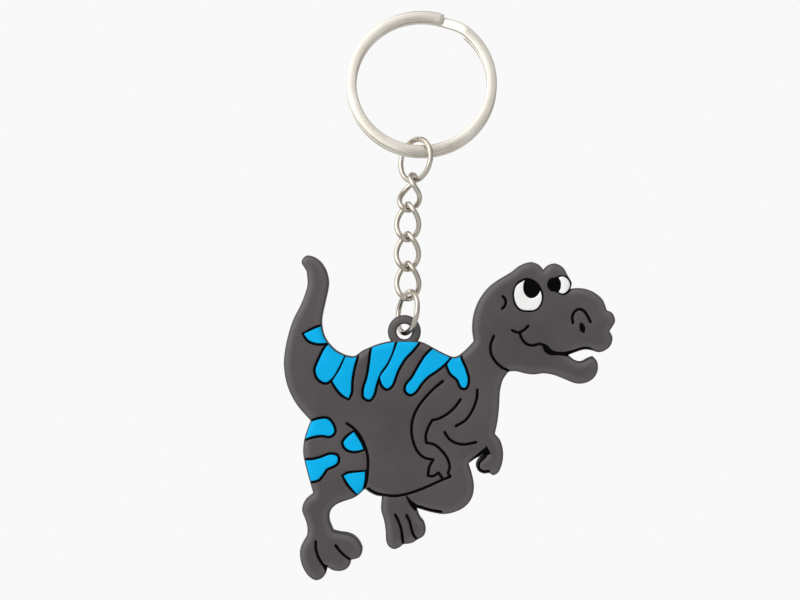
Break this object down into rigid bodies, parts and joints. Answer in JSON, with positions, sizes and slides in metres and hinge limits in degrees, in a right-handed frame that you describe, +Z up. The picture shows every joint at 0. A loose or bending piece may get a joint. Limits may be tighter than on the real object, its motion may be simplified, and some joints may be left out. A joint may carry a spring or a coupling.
{
  "type": "rubber keychain",
  "caption": "Flat moulded-rubber dinosaur charm on a twisted-link chain with jump rings and a flattened-wire split ring.",
  "frame": {"origin": "inside top of the split ring's front turn, where a hook or a key holds it", "axes": "+Z up along the hanging chain, -Y towards the viewer of the figure's coloured face, +X towards the figure's head"},
  "size_m": [0.0619, 0.0109, 0.1072],
  "materials": {
    "nickel": "bright nickel-plated steel",
    "grey_rubber": "satin soft PVC",
    "blue_rubber": "satin soft PVC",
    "black_rubber": "satin soft PVC",
    "white_rubber": "satin soft PVC"
  },
  "bodies": {
    "split_ring": {"split_ring": "nickel"},
    "top_jump_ring": {"top_jump_ring": "nickel"},
    "chain_link_1": {"chain_link_1": "nickel"},
    "chain_link_2": {"chain_link_2": "nickel"},
    "chain_link_3": {"chain_link_3": "nickel"},
    "chain_link_4": {"chain_link_4": "nickel"},
    "bottom_jump_ring": {"bottom_jump_ring": "nickel"},
    "dinosaur": {"dinosaur_body": "grey_rubber", "tail_stripe_upper": "blue_rubber", "tail_stripe_middle": "blue_rubber", "tail_stripe_lower": "blue_rubber", "back_stripe_1": "blue_rubber", "back_stripe_2": "blue_rubber", "back_stripe_3": "blue_rubber", "back_stripe_4": "blue_rubber", "hip_stripe": "blue_rubber", "thigh_stripe_upper": "blue_rubber", "shin_stripe": "blue_rubber", "thigh_stripe_lower": "blue_rubber", "tail_border": "black_rubber", "back_left_border": "black_rubber", "back_right_border": "black_rubber", "hip_border": "black_rubber", "shin_border": "black_rubber", "thigh_border": "black_rubber", "ear_crease": "black_rubber", "nostril_arch": "black_rubber", "nostril": "black_rubber", "mouth_line": "black_rubber", "jaw_line": "black_rubber", "upper_chest_fold": "black_rubber", "lower_chest_fold": "black_rubber", "arm_and_belly_line": "black_rubber", "far_hand_shadow": "black_rubber", "far_toe_line_left": "black_rubber", "far_toe_line_right": "black_rubber", "near_toe_line_left": "black_rubber", "near_toe_line_right": "black_rubber", "left_eye_dark": "black_rubber", "right_eye_dark": "black_rubber", "left_eye_white": "white_rubber", "right_eye_white": "white_rubber"}
  },
  "joints": [
    {"name": "top_ring_swing", "type": "hinge", "parent": "split_ring", "child": "top_jump_ring", "pos_m": [-0.00115, -0.00553, -0.02494], "axis": [1, 0, 0], "range_deg": [-60, 60]},
    {"name": "chain_link_1_swing", "type": "hinge", "parent": "top_jump_ring", "child": "chain_link_1", "pos_m": [-0.00163, -0.00553, -0.03052], "axis": [0.6947, -0.7193, 0], "range_deg": [-35, 35]},
    {"name": "chain_link_2_swing", "type": "hinge", "parent": "chain_link_1", "child": "chain_link_2", "pos_m": [-0.00256, -0.00553, -0.03487], "axis": [0.4067, -0.9135, 0], "range_deg": [-30, 30]},
    {"name": "chain_link_3_swing", "type": "hinge", "parent": "chain_link_2", "child": "chain_link_3", "pos_m": [-0.00268, -0.00553, -0.04157], "axis": [0.8829, 0.4695, 0], "range_deg": [-40, 40]},
    {"name": "chain_link_4_swing", "type": "hinge", "parent": "chain_link_3", "child": "chain_link_4", "pos_m": [-0.00268, -0.00553, -0.04597], "axis": [0.4695, -0.8829, 0], "range_deg": [-30, 30]},
    {"name": "bottom_ring_swing", "type": "hinge", "parent": "chain_link_4", "child": "bottom_jump_ring", "pos_m": [-0.00256, -0.00553, -0.05267], "axis": [0.9135, 0.4067, 0], "range_deg": [-40, 45]},
    {"name": "dinosaur_swing", "type": "hinge", "parent": "bottom_jump_ring", "child": "dinosaur", "pos_m": [-0.0032, -0.00553, -0.05907], "axis": [0.4384, -0.8988, 0], "range_deg": [-40, 25]}
  ]
}
